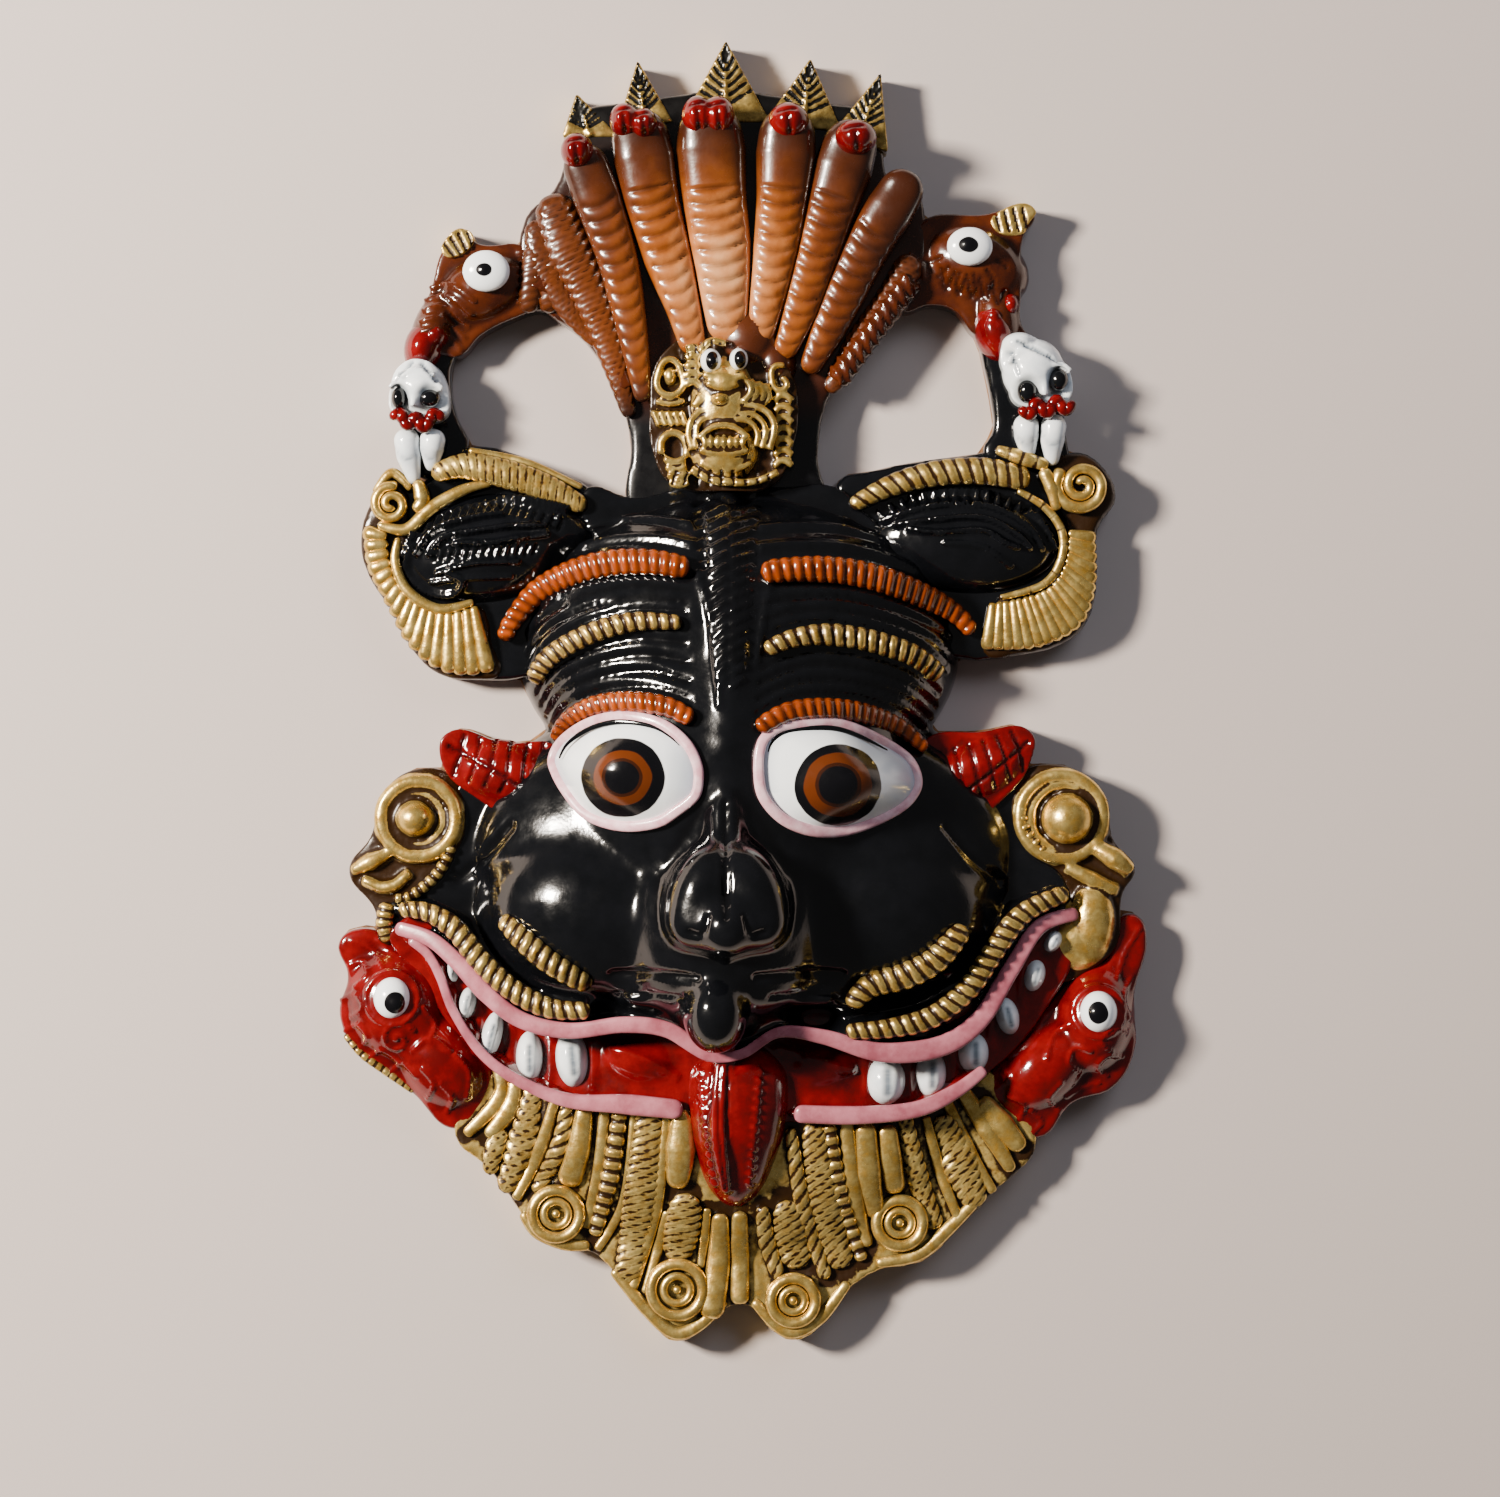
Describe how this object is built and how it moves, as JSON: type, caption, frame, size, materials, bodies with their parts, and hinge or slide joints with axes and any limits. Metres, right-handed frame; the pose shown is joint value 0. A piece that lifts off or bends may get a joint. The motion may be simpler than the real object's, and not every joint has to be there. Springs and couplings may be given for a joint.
{
  "type": "kirtimukha wall mask",
  "caption": "Carved and painted guardian lion face under a fan of cobras, with side serpents, bulging eyes, toothed mouth, tongue and fanned beard, hollow behind.",
  "frame": {"origin": "middle of the flat back's outer box, on the surface that the mask lies on", "axes": "+X across the face, +Y towards the crown, +Z out of the face"},
  "size_m": [0.2246, 0.36, 0.064],
  "materials": {
    "black_enamel": "gloss black enamel brushed over carved wood",
    "gold_paint": "pale gold paint with brown wash left in the cuts",
    "orange_enamel": "gloss orange enamel",
    "hood_glaze": "peach ground glazed orange to dark brown, varnished",
    "brown_enamel": "gloss dark brown enamel",
    "red_enamel": "gloss red enamel",
    "pink_enamel": "satin pink enamel",
    "white_enamel": "gloss white enamel with grey brush shading",
    "bare_wood": "stained, gouge-cut wood at the back and in the hollow"
  },
  "bodies": {
    "root": {"mask": "black_enamel"}
  },
  "joints": []
}
